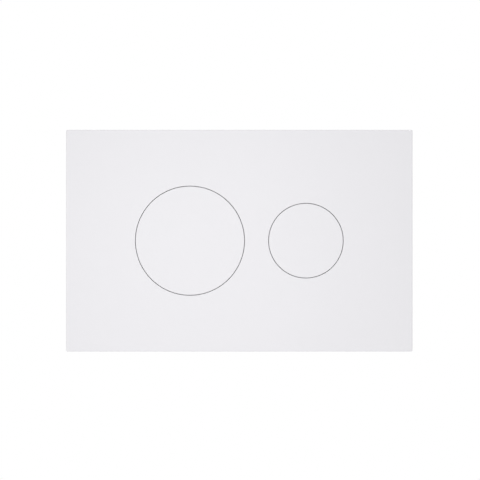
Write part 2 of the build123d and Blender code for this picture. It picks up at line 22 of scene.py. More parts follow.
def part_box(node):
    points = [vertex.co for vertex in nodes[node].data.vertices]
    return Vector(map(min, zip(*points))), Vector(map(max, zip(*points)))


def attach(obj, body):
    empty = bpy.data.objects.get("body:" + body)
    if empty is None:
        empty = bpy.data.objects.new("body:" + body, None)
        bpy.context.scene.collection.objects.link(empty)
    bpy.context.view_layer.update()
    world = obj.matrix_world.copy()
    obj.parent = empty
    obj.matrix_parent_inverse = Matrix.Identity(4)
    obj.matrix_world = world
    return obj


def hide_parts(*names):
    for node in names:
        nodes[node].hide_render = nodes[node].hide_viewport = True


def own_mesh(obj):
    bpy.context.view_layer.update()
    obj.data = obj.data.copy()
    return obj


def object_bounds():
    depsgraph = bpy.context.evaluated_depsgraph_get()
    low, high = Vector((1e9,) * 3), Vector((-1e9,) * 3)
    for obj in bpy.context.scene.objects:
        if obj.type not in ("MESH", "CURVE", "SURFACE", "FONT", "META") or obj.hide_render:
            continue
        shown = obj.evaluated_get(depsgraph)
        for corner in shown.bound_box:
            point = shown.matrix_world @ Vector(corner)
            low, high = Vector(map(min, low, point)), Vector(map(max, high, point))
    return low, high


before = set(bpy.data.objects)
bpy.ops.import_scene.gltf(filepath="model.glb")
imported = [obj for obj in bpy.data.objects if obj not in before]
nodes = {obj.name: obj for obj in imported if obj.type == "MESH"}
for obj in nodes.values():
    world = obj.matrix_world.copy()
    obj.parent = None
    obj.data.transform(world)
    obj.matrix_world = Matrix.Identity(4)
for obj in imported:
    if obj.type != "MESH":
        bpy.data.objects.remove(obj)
cad_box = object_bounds()
scene = bpy.context.scene
mm = 0.001

# %% [markdown]
# ## The camera
#
# The photograph was taken from straight in front and from far away: the sides of the plate
# don't show at all. A long lens at 2.5 m gives that flat look. The focal length follows from
# one measured fact, that the picture is 346 mm wide at the face of the plate. An orthographic
# camera would also do, but a real lens keeps the slight view into the gap round the buttons.

# %% Camera
picture_width = 346.4 * mm
picture_middle = 0.5 * mm
camera_distance = 2.5
face_y = cad_box[0][1]

lens = bpy.data.cameras.new("long_lens")
lens.sensor_width = 36.0
lens.lens = lens.sensor_width * camera_distance / picture_width
lens.clip_end = 20.0
camera = bpy.data.objects.new("camera", lens)
camera.location = (picture_middle, face_y - camera_distance, picture_middle)
camera.rotation_euler = (radians(90), 0, 0)
scene.collection.objects.link(camera)
scene.camera = camera
print("lens", round(lens.lens, 1), "mm at", camera_distance, "m")

# %% [markdown]
# ## Helpers for node trees
#
# The world, the materials and the shapes are all trees of nodes. They could be drawn by hand
# in the editors, but in a script each link can be read. What comes out of a node is kept here
# as a signal, and a sum with signals adds the Math nodes that work it out. So a rule such as
# `centre + radius * cosine(angle)` reads as it would on paper.

# %% Signals and nodes
def maths(operation, *values):
    """A Math node in the tree that its signals come from."""
    tree = next(value.tree for value in values if isinstance(value, Signal))
    return output(tree, "ShaderNodeMath", dict(enumerate(values)), operation=operation)


def sign_for(operation, swapped=False):
    """A method that answers a sign of arithmetic with a Math node."""

    def method(self, other):
        return maths(operation, *((other, self) if swapped else (self, other)))

    return method


class Signal:
    """An output of a node. Sums with it add Math nodes to its tree."""

    def __init__(self, socket):
        self.socket = socket
        self.tree = socket.id_data

    __add__ = __radd__ = sign_for("ADD")
    __mul__ = __rmul__ = sign_for("MULTIPLY")
    __sub__ = sign_for("SUBTRACT")
    __rsub__ = sign_for("SUBTRACT", swapped=True)
    __truediv__ = sign_for("DIVIDE")
    __pow__ = sign_for("POWER")
    __gt__ = sign_for("GREATER_THAN")
    __lt__ = sign_for("LESS_THAN")

    def __neg__(self):
        return self * -1.0


def feed(socket, value):
    """Links a signal to a socket, or sets the socket to a plain value."""
    if isinstance(value, Signal):
        value.tree.links.new(value.socket, socket)
    else:
        socket.default_value = value


def add_node(tree, kind, inputs=None, **settings):
    """A new node. Its inputs are signals or plain values, by name or by number."""
    node = tree.nodes.new(kind)
    for name, value in settings.items():
        setattr(node, name, value)
    for key, value in (inputs or {}).items():
        feed(node.inputs[key], value)
    return node


def output(tree, kind, inputs=None, socket=0, **settings):
    """One output of a new node."""
    return Signal(add_node(tree, kind, inputs, **settings).outputs[socket])


def signals(node):
    """All outputs of a node by name."""
    return {socket.name: Signal(socket) for socket in node.outputs}


# %% Steps that come back in many trees
cosine = partial(maths, "COSINE")
sine = partial(maths, "SINE")
absolute = partial(maths, "ABSOLUTE")
rounded = partial(maths, "ROUND")
wrapped = partial(maths, "WRAP")
smaller = partial(maths, "MINIMUM")
larger = partial(maths, "MAXIMUM")


def ramp(value, start, end, low=0.0, high=1.0, kind="LINEAR"):
    """Runs from low to high while the value goes from start to end."""
    inputs = {"Value": value, "From Min": start, "From Max": end, "To Min": low, "To Max": high}
    return output(value.tree, "ShaderNodeMapRange", inputs, interpolation_type=kind)


def split(vector):
    """The X, Y and Z of a vector."""
    return signals(add_node(vector.tree, "ShaderNodeSeparateXYZ", {0: vector}))


def point(tree, x, y, z):
    """A vector put together from three numbers."""
    return output(tree, "ShaderNodeCombineXYZ", {"X": x, "Y": y, "Z": z})


def vector_step(operation, vector, second, socket=0):
    """One step of vector arithmetic."""
    inputs = {0: vector, 1: second}
    return output(vector.tree, "ShaderNodeVectorMath", inputs, socket, operation=operation)


def length_of(vector):
    """How long a vector is."""
    return output(vector.tree, "ShaderNodeVectorMath", {0: vector}, "Value", operation="LENGTH")


def object_place(tree):
    """Where a point of the surface lies on the object."""
    return output(tree, "ShaderNodeTexCoord", socket="Object")


def mix_colours(share, first, second):
    """Two colours, mixed by a share. Each is a signal or three numbers."""
    colours = [part if isinstance(part, Signal) else (*part, 1) for part in (first, second)]
    inputs = {0: share, 6: colours[0], 7: colours[1]}
    return output(share.tree, "ShaderNodeMix", inputs, 2, data_type="RGBA")


def mix_shaders(share, first, second):
    """Two shaders, mixed by a share."""
    return output(share.tree, "ShaderNodeMixShader", {0: share, 1: first, 2: second})


# %% Groups with named inputs
def socket_kind(value):
    """The kind of socket that holds a value."""
    if value is None:
        return "NodeSocketMaterial"
    if isinstance(value, (int, float)):
        return "NodeSocketInt" if isinstance(value, int) else "NodeSocketFloat"
    return "NodeSocketVector" if len(value) == 3 else "NodeSocketColor"


def new_group(name, kind, inputs, outputs):
    """An empty group. Inputs are names and values, outputs are names and kinds of socket."""
    group = bpy.data.node_groups.new(name, kind)
    new_socket = group.interface.new_socket
    for label, value in inputs.items():
        socket = new_socket(label, in_out="INPUT", socket_type=socket_kind(value))
        if value is not None:
            socket.default_value = value
    for label, kind_out in outputs.items():
        new_socket(label, in_out="OUTPUT", socket_type=f"NodeSocket{kind_out}")
    given = signals(group.nodes.new("NodeGroupInput"))
    return group, given, group.nodes.new("NodeGroupOutput").inputs


def shader_group(name, inputs, outputs, build):
    """A group for materials. The build function works out what each output gives."""
    group, given, result = new_group(name, "ShaderNodeTree", inputs, outputs)
    for label, value in build(group, given).items():
        feed(result[label], value)
    print(name, "group has", len(group.nodes), "nodes")
    return group


def use_group(tree, group, values):
    """The outputs of a shader group, used in a material with these values."""
    return signals(add_node(tree, "ShaderNodeGroup", node_tree=group, inputs=values))


print("helpers for nodes ready")

# %% [markdown]
# ## Floor, background and light
#
# The photograph has a pure white background and no hard shadow. A white world gives that in
# one step: where the camera or a reflection meets it, it is exactly white, and elsewhere it
# is the soft light of a studio tent. That light is stronger from the user's upper left, as
# from a large window there, so the sides of the plate differ in tone from its face. A lamp
# near the plate adds the faint fall-off from its middle to its edges, and one behind it shows
# the shapes on the back. The faint lavender of the white plastic in the photograph comes from
# the light, so it is in the lamps and the world and not in the plastic: inside a cavity a
# tinted plastic would colour itself again at each bounce. The floor lies below the picture.
# Away from the object it fades into the white of the world, so that no view shows its edge,
# and from below it is clear.

# %% Studio
studio_tint = (1.0, 0.99, 1.02)
window_direction = Vector((-0.4, -0.8, 0.45)).normalized()


def studio_world(strength, window_share):
    """White where it is seen or mirrored. As light it is faintly cool, and has a bright side."""
    world = bpy.data.worlds.new("studio")
    world.use_nodes = True
    tree = world.node_tree
    tree.nodes.clear()
    path = signals(add_node(tree, "ShaderNodeLightPath"))
    seen = larger(path["Is Camera Ray"], path["Is Glossy Ray"])
    seen = larger(seen, path["Is Transmission Ray"])
    direction = output(tree, "ShaderNodeTexCoord", socket="Generated")
    facing = vector_step("DOT_PRODUCT", direction, window_direction, "Value")
    level = facing * (strength * window_share) + strength
    tinted = {0: studio_tint, "Scale": level}
    light = output(tree, "ShaderNodeVectorMath", tinted, operation="SCALE")
    colour = mix_colours(seen, light, (1, 1, 1))
    shine = output(tree, "ShaderNodeBackground", {"Color": colour})
    add_node(tree, "ShaderNodeOutputWorld", {"Surface": shine})
    return world


def soft_lamp(name, place, target, size, power):
    """A square lamp that faces a point and isn't itself seen."""
    data = bpy.data.lights.new(name, "AREA")
    data.shape = "SQUARE"
    data.size = size
    data.energy = power
    data.color = studio_tint
    lamp = bpy.data.objects.new(name, data)
    lamp.location = place
    lamp.rotation_euler = (Vector(target) - Vector(place)).to_track_quat("-Z", "Y").to_euler()
    lamp.visible_camera = False
    lamp.visible_glossy = False
    scene.collection.objects.link(lamp)


scene.world = studio_world(strength=0.534, window_share=0.42)
soft_lamp("front_lamp", (-0.036, -0.46, 0.01), (-0.036, 0, 0.01), size=0.2, power=0.645)
soft_lamp("back_lamp", (0.1, 0.75, 0.7), (0, 0.02, 0), size=0.35, power=4.8)
scene.view_settings.view_transform = "Standard"
print("world and lamps ready")

# %% Floor
def flat_sheet(name, low, high, height):
    """A level rectangle between two corners."""
    mesh = bpy.data.meshes.new(name)
    corners = [(low[0], low[1], height), (high[0], low[1], height)]
    corners += [(high[0], high[1], height), (low[0], high[1], height)]
    mesh.from_pydata(corners, [], [(0, 1, 2, 3)])
    sheet = bpy.data.objects.new(name, mesh)
    scene.collection.objects.link(sheet)
    return sheet


def paint_floor(near, far):
    """Pale grey near the object, and where it is seen, white from afar like the world."""
    paint = bpy.data.materials.new("floor_paint")
    paint.use_nodes = True
    tree = paint.node_tree
    skin = tree.nodes["Principled BSDF"]
    skin.inputs["Base Color"].default_value = (0.86, 0.86, 0.86, 1)
    skin.inputs["Roughness"].default_value = 0.9
    fade = ramp(length_of(object_place(tree)), near, far, kind="SMOOTHSTEP")
    seen = output(tree, "ShaderNodeLightPath", socket="Is Camera Ray")
    glow = output(tree, "ShaderNodeEmission")
    from_above = mix_shaders(fade * seen, Signal(skin.outputs[0]), glow)
    from_below = output(tree, "ShaderNodeNewGeometry", socket="Backfacing")
    clear = output(tree, "ShaderNodeBsdfTransparent")
    both = mix_shaders(from_below, from_above, clear)
    feed(tree.nodes["Material Output"].inputs["Surface"], both)
    return paint


floor = flat_sheet("floor", low=(-1.6, -1.8), high=(1.6, 1.2), height=-0.3)
floor.data.materials.append(paint_floor(near=0.35, far=1.15))
print("floor at", floor.data.vertices[0].co.z)

# %% [markdown]
# ## Shared surface effects
#
# A moulding is never perfectly even. Its colour drifts a little, its gloss varies, and its
# skin has a fine texture from the steel of the mould. Metal has the same three effects, with
# streaks along the direction it was drawn or ground in. Each effect is a node group with
# named inputs, so one group serves many finishes with its own values in each. Image textures
# would also work, but noise on the object's own coordinates needs no unwrapping.

# %% Skin of a moulding or a metal part
skin_values = {
    "Colour": (0.8, 0.8, 0.8, 1),
    "Second Colour": (0.7, 0.7, 0.7, 1),
    "Drift Scale": 40.0,
    "Gloss Low": 0.3,
    "Gloss High": 0.4,
    "Grain Scale": 2000.0,
    "Grain Detail": 2.0,
    "Stretch": (1, 1, 1),
}


def surface_skin(group, given):
    """Drifting colour, uneven gloss and a fine bump, stretched along X, Y or Z if asked."""
    place = object_place(group)
    clouds = {"Vector": place, "Scale": given["Drift Scale"], "Detail": 3.0}
    drift = output(group, "ShaderNodeTexNoise", clouds)
    stretched = vector_step("MULTIPLY", place, given["Stretch"])
    specks = {"Vector": stretched, "Scale": given["Grain Scale"], "Detail": given["Grain Detail"]}
    grain = output(group, "ShaderNodeTexNoise", specks)
    gloss = ramp(grain, 0.2, 0.8, given["Gloss Low"], given["Gloss High"], "SMOOTHSTEP")
    colour = mix_colours(drift, given["Colour"], given["Second Colour"])
    return {"Colour": colour, "Roughness": gloss, "Height": grain}


skin_outputs = {"Colour": "Color", "Roughness": "Float", "Height": "Float"}
skin_group = shader_group("surface_skin", skin_values, skin_outputs, surface_skin)

# %% [markdown]
# ## Softened edges
#
# No real moulding has a knife edge: the corner of the mould is always a little round, and the
# round catches a line of light. The CAD solids keep most small edges sharp. The Bevel node
# looks at the surface near each point and turns the normal as if the edge were rounded, which
# needs no extra faces. The same node tells where the edges are, and that mask can paint them a
# little paler: partly the wear of handling, partly a painted highlight.

# %% Edge group
def soft_edges(group, given):
    """A normal that rounds sharp edges, and a mask that is 1 on them."""
    normal = output(group, "ShaderNodeBevel", {"Radius": given["Radius"]}, samples=6)
    flat = output(group, "ShaderNodeNewGeometry", socket="True Normal")
    alike = vector_step("DOT_PRODUCT", normal, flat, "Value")
    return {"Normal": normal, "Edge": ramp(alike, start=0.99, end=0.8)}


edge_outputs = {"Normal": "Vector", "Edge": "Float"}
edge_group = shader_group("soft_edges", {"Radius": 0.3 * mm}, edge_outputs, soft_edges)

# %% [markdown]
# ## What the mould leaves behind
#
# A moulding is polished only where it is seen. The rest of the mould is spark-eroded, which
# leaves a fine satin grain, and the pins that push the part out leave shallow round dents on
# faces that lie square to the pull. Both could be modelled or painted by hand. Here one group
# says where the show face is, and another repeats a round mask on a grid and keeps it only on
# faces that look along Y. A Bump node turns the mask into a dent.

# %% Group that tells the show face
def show_face_mask(group, given):
    """1 on the faces that the user sees: in front of a depth, or outside a rectangle."""
    spot = split(object_place(group))
    in_front = spot["Y"] < given["Front Depth"]
    beside = absolute(spot["X"]) > given["Half Width"]
    above = absolute(spot["Z"]) > given["Half Height"]
    return {"Show": larger(in_front, larger(beside, above))}


show_values = {"Front Depth": 0.0, "Half Width": 1.0, "Half Height": 1.0}
show_face_group = shader_group("show_face", show_values, {"Show": "Float"}, show_face_mask)

# %% Group that repeats the marks of the ejector pins
def pin_marks(group, given):
    """Round marks on a grid, 1 inside each, on faces that look along Y."""
    spot = split(object_place(group))
    away = {}
    for axis in ("X", "Z"):
        half = given[f"Spacing {axis}"] * 0.5
        away[axis] = wrapped(spot[axis] - given[f"Shift {axis}"], half, -half)
    distance = length_of(point(group, away["X"], 0.0, away["Z"]))
    floor_radius = given["Pin Radius"] * 0.9
    mark = ramp(distance, given["Pin Radius"], floor_radius)
    normal = output(group, "ShaderNodeNewGeometry", socket="True Normal")
    square_on = absolute(split(normal)["Y"]) > 0.9
    return {"Mark": mark * square_on}


pin_values = {"Spacing X": 30 * mm, "Spacing Z": 30 * mm}
pin_values |= {"Shift X": 0.0, "Shift Z": 0.0, "Pin Radius": 2 * mm}
pin_mark_group = shader_group("pin_marks", pin_values, {"Mark": "Float"}, pin_marks)

# %% [markdown]
# ## Grime in a thread
#
# The roots of a thread are painted darker. Partly that is the oil and dust that a thread holds
# there, and partly it is painted shade, which makes the thread readable from afar: the crests
# shine between dark lines. The roots are the points nearest to the axis, so the group
# measures the distance from it. Two bars stand as a mirrored pair, so one value of X, taken
# without its sign, serves both.

# %% Group that finds the roots of a thread
def thread_roots(group, given):
    """1 at the roots of a thread along Y, 0 at its crests and on ends turned smaller."""
    spot = split(object_place(group))
    from_axis = absolute(spot["X"]) - given["Axis X"]
    distance = length_of(point(group, from_axis, 0.0, spot["Z"]))
    depth = ramp(distance, given["Crest Radius"], given["Root Radius"])
    turned_radius = given["Root Radius"] * 0.94
    not_turned = distance > turned_radius
    return {"Root": depth * not_turned}


root_values = {"Axis X": 0.0, "Root Radius": 2.5 * mm, "Crest Radius": 3.0 * mm}
thread_root_group = shader_group("thread_roots", root_values, {"Root": "Float"}, thread_roots)

# %% [markdown]
# ## From groups to a finish
#
# One function puts the groups together, and each material below is one call of it. Bump nodes
# are chained through their normals, so that the rounded edge, the skin, the satin grain and
# the pin marks add up.

# %% Build a finish from the groups
satin = {"Gloss Low": 0.42, "Gloss High": 0.6, "Grain Scale": 2400.0}
satin_depth = 0.02 * mm
pin_depth = 0.12 * mm


def bumped(tree, height, depth, normal, invert=False):
    """A normal with one more layer of bump."""
    inputs = {"Height": height, "Distance": depth, "Normal": normal}
    return output(tree, "ShaderNodeBump", inputs, invert=invert)


def finish(
    name, colour, second_colour, gloss, bump_depth, edge_radius=0.25 * mm, edge_wear_and_highlight_colour=None,
    metallic=0.0, show_face=None, pins=None, thread=None, root_grime_and_shade_colour=None, **more_skin,
):
    """A material: skin, soft edges and marks of the mould feed one Principled BSDF.

    The values in more_skin go to the inputs of the skin group that have their names.
    """
    material = bpy.data.materials.new(name)
    material.use_nodes = True
    tree = material.node_tree
    values = {"Colour": (*colour, 1), "Second Colour": (*second_colour, 1)}
    values |= {"Gloss Low": gloss[0], "Gloss High": gloss[1]}
    values |= {label.replace("_", " ").title(): value for label, value in more_skin.items()}
    skin = use_group(tree, skin_group, values)
    edges = use_group(tree, edge_group, {"Radius": edge_radius})
    shown = skin["Colour"]
    # Edges are painted paler here: partly wear, partly a painted highlight.
    if edge_wear_and_highlight_colour:
        shown = mix_colours(edges["Edge"], shown, edge_wear_and_highlight_colour)
    # Thread roots are painted darker: partly grime, partly painted shade.
    if thread:
        roots = use_group(tree, thread_root_group, thread)
        shown = mix_colours(roots["Root"], shown, root_grime_and_shade_colour)
    roughness = skin["Roughness"]
    normal = bumped(tree, skin["Height"], bump_depth, edges["Normal"])
    hidden = 1.0
    if show_face:
        hidden = 1.0 - use_group(tree, show_face_group, show_face)["Show"]
        back = use_group(tree, skin_group, satin)
        both = {0: hidden, 2: roughness, 3: back["Roughness"]}
        roughness = output(tree, "ShaderNodeMix", both, data_type="FLOAT")
        normal = bumped(tree, back["Height"] * hidden, satin_depth, normal)
    if pins:
        marks = use_group(tree, pin_mark_group, pins)["Mark"]
        normal = bumped(tree, marks * hidden, pin_depth, normal, invert=True)
    shader = tree.nodes["Principled BSDF"].inputs
    shader["Metallic"].default_value = metallic
    feed(shader["Base Color"], shown)
    feed(shader["Roughness"], roughness)
    feed(shader["Normal"], normal)
    return material


# %% Give a finish to CAD pieces
def dress(names, material, slot):
    """Gives CAD pieces a finish in place of their plain one."""
    for name in names:
        materials = nodes[name].data.materials
        materials.clear()
        materials.append(material)
    print(slot, "on", ", ".join(names))


# %% [markdown]
# ## White ABS of the plate and the buttons
#
# The visible mouldings are polished ABS, a glossy and nearly neutral white plastic. Polished
# ABS still shows a faint waviness in its reflections, called orange peel, so the bump is
# broad and only a few micrometres deep.

# %% Plate and buttons
white = (0.875, 0.875, 0.875)
white_deep = (0.862, 0.862, 0.863)
show_depth = face_y + 1.2 * mm
side_skin = 0.6 * mm
plate_white = finish(
    "plate_white_abs", white, white_deep, gloss=(0.243, 0.268), grain_scale=220.0,
    bump_depth=0.006 * mm, drift_scale=12.0,
    show_face={
        "Front Depth": show_depth,
        "Half Width": cad_box[1][0] - side_skin,
        "Half Height": cad_box[1][2] - side_skin,
    },
    pins={"Spacing X": 46 * mm, "Spacing Z": 53 * mm, "Shift X": 12 * mm, "Pin Radius": 2.5 * mm},
)
button_white = finish(
    "button_white_abs", white, white_deep, gloss=(0.238, 0.262), grain_scale=240.0,
    bump_depth=0.006 * mm, edge_radius=0.2 * mm, drift_scale=18.0,
    show_face={"Front Depth": show_depth},
)
dress(["cover_plate"], plate_white, "plate_plastic")
dress(["full_flush_button", "half_flush_button"], button_white, "button_plastic")

# %% [markdown]
# ## Satin mouldings behind the face
#
# Parts that nobody sees are not polished. The guides are natural acetal, which is slippery
# and a little waxy. The mounting frame is grey polypropylene with a fine spark-eroded grain.
# The rockers and nuts are blue, so that a fitter sees at once what may be touched.

# %% Guides, frame, rockers, rods and nuts
def middle(node, axis):
    """The middle of a CAD node along one axis."""
    low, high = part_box(node)
    return (low[axis] + high[axis]) / 2


# The guide, frame, rocker and nut finishes paint their edges paler: partly wear, partly a painted
# highlight.
guide_satin = finish(
    "guide_acetal", (0.70, 0.71, 0.72), (0.66, 0.67, 0.68), gloss=(0.38, 0.48),
    grain_scale=1600.0, bump_depth=0.01 * mm, edge_radius=0.2 * mm,
    edge_wear_and_highlight_colour=(0.78, 0.79, 0.80),
    pins={"Spacing X": 21 * mm, "Spacing Z": 21 * mm, "Shift X": 6 * mm, "Pin Radius": 1.5 * mm},
)
frame_grain = finish(
    "frame_polypropylene", (0.52, 0.54, 0.56), (0.48, 0.50, 0.52), gloss=(0.5, 0.68),
    grain_scale=2600.0, grain_detail=3.0, bump_depth=0.03 * mm, edge_radius=0.3 * mm,
    edge_wear_and_highlight_colour=(0.60, 0.62, 0.64), drift_scale=25.0,
    pins={
        "Spacing X": 41.2 * mm,
        "Spacing Z": 25.2 * mm,
        "Shift X": 20.6 * mm,
        "Shift Z": 12.6 * mm,
        "Pin Radius": 2.0 * mm,
    },
)
rocker_blue = finish(
    "rocker_blue_acetal", (0.07, 0.20, 0.42), (0.06, 0.17, 0.37), gloss=(0.34, 0.44),
    grain_scale=1800.0, bump_depth=0.01 * mm, edge_wear_and_highlight_colour=(0.12, 0.27, 0.50),
)
# Its thread roots are painted darker: partly grime, partly painted shade.
rod_white = finish(
    "rod_nylon", (0.66, 0.64, 0.57), (0.61, 0.59, 0.52), gloss=(0.34, 0.46), grain_scale=1400.0,
    bump_depth=0.012 * mm, edge_radius=0.15 * mm,
    thread={"Axis X": middle("half_push_rod", 0), "Root Radius": 2.45 * mm},
    root_grime_and_shade_colour=(0.36, 0.34, 0.28),
)
nut_blue = finish(
    "nut_blue_nylon", (0.08, 0.22, 0.45), (0.07, 0.19, 0.40), gloss=(0.40, 0.52),
    grain_scale=2000.0, bump_depth=0.015 * mm, edge_wear_and_highlight_colour=(0.14, 0.30, 0.53),
)
dress(["full_button_guide", "half_button_guide"], guide_satin, "guide_plastic")
dress(["mounting_frame"], frame_grain, "frame_plastic")
dress(["full_rocker", "half_rocker"], rocker_blue, "rocker_plastic")
dress(["full_push_rod", "half_push_rod"], rod_white, "rod_plastic")
nut_names = ["full_rod_lock_nut", "half_rod_lock_nut", "left_stud_nut", "right_stud_nut"]
dress(nut_names, nut_blue, "nut_plastic")

# %% [markdown]
# ## Rubber and metal
#
# Rubber is almost black and dull, and its edges are painted paler: partly dust where it was
# handled, partly a painted highlight. The metals differ by how they
# were made: the shaft is ground, so it has fine rings round it, the clips are rolled strip,
# with streaks along it, and screws and studs carry a bright zinc coat that is cloudy close
# up. The stretch of the skin group makes the streaks.

# %% Rubber, zinc, spring steel and ground steel
# The rubber's edges are painted paler: partly dust, partly a painted highlight.
buffer_black = finish(
    "buffer_rubber", (0.022, 0.022, 0.023), (0.034, 0.034, 0.034), gloss=(0.62, 0.8),
    grain_scale=3000.0, bump_depth=0.04 * mm, edge_radius=0.3 * mm,
    edge_wear_and_highlight_colour=(0.06, 0.06, 0.06), drift_scale=150.0,
)
zinc = finish(
    "zinc_coat", (0.47, 0.48, 0.50), (0.37, 0.39, 0.43), gloss=(0.26, 0.42), grain_scale=900.0,
    grain_detail=4.0, bump_depth=0.012 * mm, edge_radius=0.08 * mm, metallic=1.0,
    drift_scale=200.0,
)
# Its thread roots are painted darker: partly grime, partly painted shade.
stud_zinc = finish(
    "stud_zinc_coat", (0.58, 0.59, 0.61), (0.48, 0.50, 0.54), gloss=(0.2, 0.46),
    grain_scale=900.0, grain_detail=4.0, bump_depth=0.01 * mm, edge_radius=0.05 * mm,
    metallic=1.0, drift_scale=200.0,
    thread={"Axis X": middle("right_fixing_stud", 0), "Crest Radius": 2.92 * mm},
    root_grime_and_shade_colour=(0.27, 0.27, 0.28),
)
spring_wire = finish(
    "spring_wire_steel", (0.46, 0.46, 0.45), (0.38, 0.38, 0.38), gloss=(0.22, 0.36),
    grain_scale=2500.0, bump_depth=0.008 * mm, edge_radius=0.05 * mm, metallic=1.0,
    drift_scale=260.0,
)
ground_steel = finish(
    "ground_shaft_steel", (0.50, 0.50, 0.51), (0.42, 0.42, 0.44), gloss=(0.16, 0.34),
    grain_scale=900.0, grain_detail=4.0, bump_depth=0.006 * mm, edge_radius=0.2 * mm,
    stretch=(8, 1, 1), metallic=1.0,
)
strip_steel = finish(
    "rolled_strip_steel", (0.50, 0.50, 0.49), (0.40, 0.40, 0.40), gloss=(0.2, 0.38),
    grain_scale=700.0, grain_detail=4.0, bump_depth=0.008 * mm, edge_radius=0.12 * mm,
    stretch=(1, 1, 9), metallic=1.0,
)
dress(["full_press_buffer", "half_press_buffer"], buffer_black, "buffer_rubber")
dress(["rocker_shaft"], ground_steel, "shaft_steel")
clip_names = [f"{level}_{side}_clip" for level in ("upper", "lower") for side in ("left", "right")]
dress(clip_names, strip_steel, "clip_steel")
dress(["full_guide_screws", "half_guide_screws"], zinc, "screw_steel")
dress(["left_fixing_stud", "right_fixing_stud"], stud_zinc, "stud_steel")
dress(["full_return_spring", "half_return_spring"], spring_wire, "spring_steel")

# %% [markdown]
# ## Shapes that repeat: Geometry Nodes
#
# Threads, coils and screws are one small shape repeated along a path. Modelling them by hand
# would take thousands of clicks, and a plain Python loop would hide the rule. A Geometry
# Nodes tree states the rule once: how far a point has come along the bar decides how far out
# it lies. Each tree has named inputs, so the same tree makes a stud with a fine thread and a
# push rod with a coarse one. Most of the trees bend a flat grid: one side becomes the way
# round, the other the way along.

# %% Trees and the pieces they grow
def shape_tree(name, sizes, build):
    """A tree with an input for each size, which ends in real geometry with its material."""
    inputs = {**sizes, "Material": None}
    outputs = {"Geometry": "Geometry"}
    tree, given, result = new_group(name, "GeometryNodeTree", inputs, outputs)
    tree.is_modifier = True
    real = output(tree, "GeometryNodeRealizeInstances", {0: build(tree, given)})
    painted = {"Geometry": real, "Material": given["Material"]}
    feed(result["Geometry"], output(tree, "GeometryNodeSetMaterial", painted))
    print(name, "tree has", len(tree.nodes), "nodes")
    return tree


def apply_modifier(piece, modifier):
    """Makes what a modifier shows the piece's own plain mesh."""
    graph = bpy.context.evaluated_depsgraph_get()
    mesh = bpy.data.meshes.new_from_object(piece.evaluated_get(graph))
    piece.modifiers.remove(modifier)
    piece.data = mesh


def grow(name, tree, sizes, material):
    """Runs a tree with these sizes and returns a new object with a plain mesh."""
    piece = bpy.data.objects.new(name, bpy.data.meshes.new(name))
    scene.collection.objects.link(piece)
    modifier = piece.modifiers.new("shape", "NODES")
    modifier.node_group = tree
    values = {**sizes, "Material": material}
    for item in tree.interface.items_tree:
        if item.in_out == "INPUT":
            modifier[item.identifier] = values[item.name]
    apply_modifier(piece, modifier)
    print(name, "has", len(piece.data.polygons), "faces")
    return piece


def settle(piece, angle, body, slot, *replaced):
    """Shades a finished piece smooth up to an angle, parents it to its body and hides what it
    replaces.
    """
    piece.data.shade_smooth()
    piece.data.set_sharp_from_angle(angle=radians(angle))
    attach(piece, body)
    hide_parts(*replaced)


# %% Steps of a shape
def pick(index, choices):
    """The number of the list that the index asks for."""
    node = add_node(index.tree, "GeometryNodeIndexSwitch", data_type="FLOAT")
    while len(node.index_switch_items) < len(choices):
        node.index_switch_items.new()
    for number, value in enumerate((index, *choices)):
        feed(node.inputs[number], value)
    return Signal(node.outputs[0])


def join(*parts):
    """Several geometries as one."""
    node = add_node(parts[0].tree, "GeometryNodeJoinGeometry")
    for part in parts:
        feed(node.inputs[0], part)
    return Signal(node.outputs[0])


def flip(part):
    """The same geometry with its faces turned over."""
    return output(part.tree, "GeometryNodeFlipFaces", {"Mesh": part})


def weld(part):
    """Points that lie on each other become one."""
    inputs = {"Geometry": part, "Distance": 0.02 * mm}
    return output(part.tree, "GeometryNodeMergeByDistance", inputs)


def place_at(part, spot, turn=(0.0, 0.0, 0.0)):
    """A part turned and moved. Each number may be a signal."""
    tree = part.tree
    inputs = {"Geometry": part, "Translation": point(tree, *spot), "Rotation": point(tree, *turn)}
    return output(tree, "GeometryNodeTransform", inputs)


def move_points(part, place):
    """A part with its points at new places."""
    return output(part.tree, "GeometryNodeSetPosition", {"Geometry": part, "Position": place})


def sweep(line, section):
    """A closed solid: the section swept along the line."""
    inputs = {"Curve": line, "Profile Curve": section, "Fill Caps": True}
    return output(line.tree, "GeometryNodeCurveToMesh", inputs)


# %% Round and bent surfaces
def about_y(radius, angle, y, centre_x=0.0):
    """The place at this radius, angle and y about a line along Y."""
    x = radius * cosine(angle) + centre_x
    return point(radius.tree, x, y, radius * sine(angle))


def disc(tree, sides, radius, y):
    """A round face square to the Y axis."""
    inputs = {"Vertices": sides, "Radius": radius}
    flat = output(tree, "GeometryNodeMeshCircle", inputs, fill_type="NGON")
    return place_at(flat, (0.0, y, 0.0), (pi / 2, 0.0, 0.0))


def bent_grid(tree, columns, rows, rule):
    """A flat grid, bent by a rule that turns the shares round and along into a place."""
    inputs = {"Size X": 1.0, "Size Y": 1.0, "Vertices X": columns, "Vertices Y": rows}
    grid = output(tree, "GeometryNodeMeshGrid", inputs, "Mesh")
    spot = split(output(tree, "GeometryNodeInputPosition"))
    return move_points(grid, rule(spot["X"] + 0.5, spot["Y"] + 0.5))


print("helpers for shapes ready")

# %% [markdown]
# ## Threads
#
# A thread is a ridge that climbs round a bar by one pitch each turn. The number of turns done
# so far plus the share of the way round gives a zigzag wave, and the wave moves each point in
# or out. A limit that shrinks towards both ends cuts the chamfers. This keeps the ridge
# continuous, where a stack of rings would only look like a thread from far off.

# %% The threaded surface, used by bars and screws
crest_share, root_share = 0.12, 0.88


